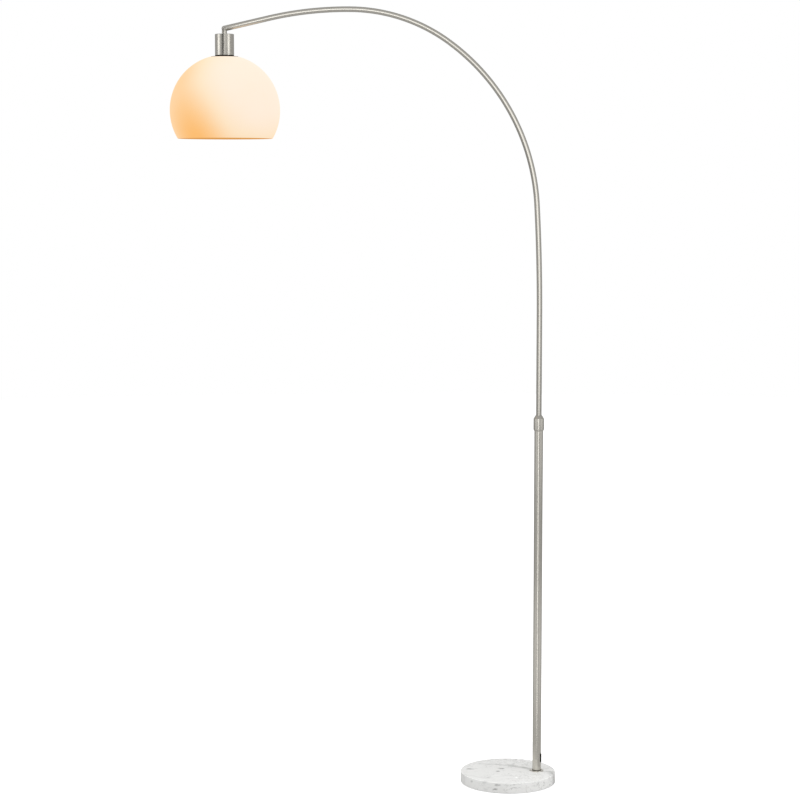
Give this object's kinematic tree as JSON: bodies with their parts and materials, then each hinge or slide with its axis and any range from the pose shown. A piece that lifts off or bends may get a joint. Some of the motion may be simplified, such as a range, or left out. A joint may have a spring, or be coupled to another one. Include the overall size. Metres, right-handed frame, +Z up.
{
  "type": "arc floor lamp",
  "caption": "Free-standing arc floor lamp: round marble base, height-adjustable pole with a twist collar, curved swivelling arm and a domed opal shade hung over a lampholder.",
  "frame": {"origin": "centre of the base's underside, on the floor", "axes": "+Z up along the pole, -X from the base's centre towards the shade, +Y to the lamp's side; the pole stands 64 mm to +X of the origin"},
  "size_m": [0.8418, 0.2376, 1.7034],
  "materials": {
    "marble": "polished white marble with soft grey veins",
    "satin_nickel": "satin nickel plate over steel tube, finely brushed",
    "zinc_plate": "bright zinc plate",
    "brass": "turned brass",
    "opal_acrylic": "warm white opal acrylic, translucent, lit from inside",
    "opal_glass": "opal glass bulb",
    "black_plastic": "moulded black plastic",
    "black_rubber": "soft black rubber",
    "white_plastic": "moulded white plastic",
    "nylon": "natural nylon"
  },
  "bodies": {
    "base": {"floor_pad": "black_rubber", "marble_base": "marble", "anchor_washer": "zinc_plate", "spring_washer": "zinc_plate", "anchor_bolt": "zinc_plate", "foot_plug": "zinc_plate", "foot_ring": "satin_nickel", "foot_seal": "black_rubber", "lower_pole": "satin_nickel", "cord_grommet": "black_plastic", "collar_bush": "brass", "collet": "nylon"},
    "collar": {"lock_collar": "satin_nickel"},
    "mast": {"mast_tube": "satin_nickel", "mast_guide": "nylon", "mast_lead": "white_plastic", "lead_connector": "white_plastic"},
    "arm": {"arm_spigot": "zinc_plate", "arm_lower_tube": "satin_nickel", "arm_coupler": "zinc_plate", "arm_upper_tube": "satin_nickel", "tip_elbow": "satin_nickel", "arm_lead": "white_plastic", "head_nipple": "brass", "nipple_lock_washer": "zinc_plate", "nipple_nut": "brass", "socket_cup": "satin_nickel", "cup_gasket": "black_rubber", "shade_washer": "black_rubber", "holder_skirt": "black_plastic", "holder_cap": "black_plastic", "shade_ring": "black_plastic", "holder_screw_shell": "brass", "terminal_plate": "white_plastic", "terminal_screw_1": "zinc_plate", "terminal_screw_2": "zinc_plate", "centre_tongue": "brass", "shade": "opal_acrylic"},
    "bulb": {"bulb_glass": "opal_glass", "bulb_cap": "zinc_plate", "bulb_insulator": "black_plastic", "bulb_contact": "zinc_plate"}
  },
  "joints": [
    {"name": "height_slide", "type": "slide", "parent": "base", "child": "mast", "axis": [0, 0, 1], "range_m": [-0.2, 0]},
    {"name": "arm_swivel", "type": "hinge", "parent": "mast", "child": "arm", "pos_m": [0.064, 0, 1.0375], "axis": [0, 0, 1], "range_deg": [-60, 60]},
    {"name": "collar_twist", "type": "hinge", "parent": "base", "child": "collar", "pos_m": [0.064, 0, 0.802], "axis": [0, 0, 1], "range_deg": [0, 120]},
    {"name": "bulb_out", "type": "slide", "parent": "arm", "child": "bulb", "axis": [0, 0, -1], "range_m": [0, 0.2]}
  ]
}
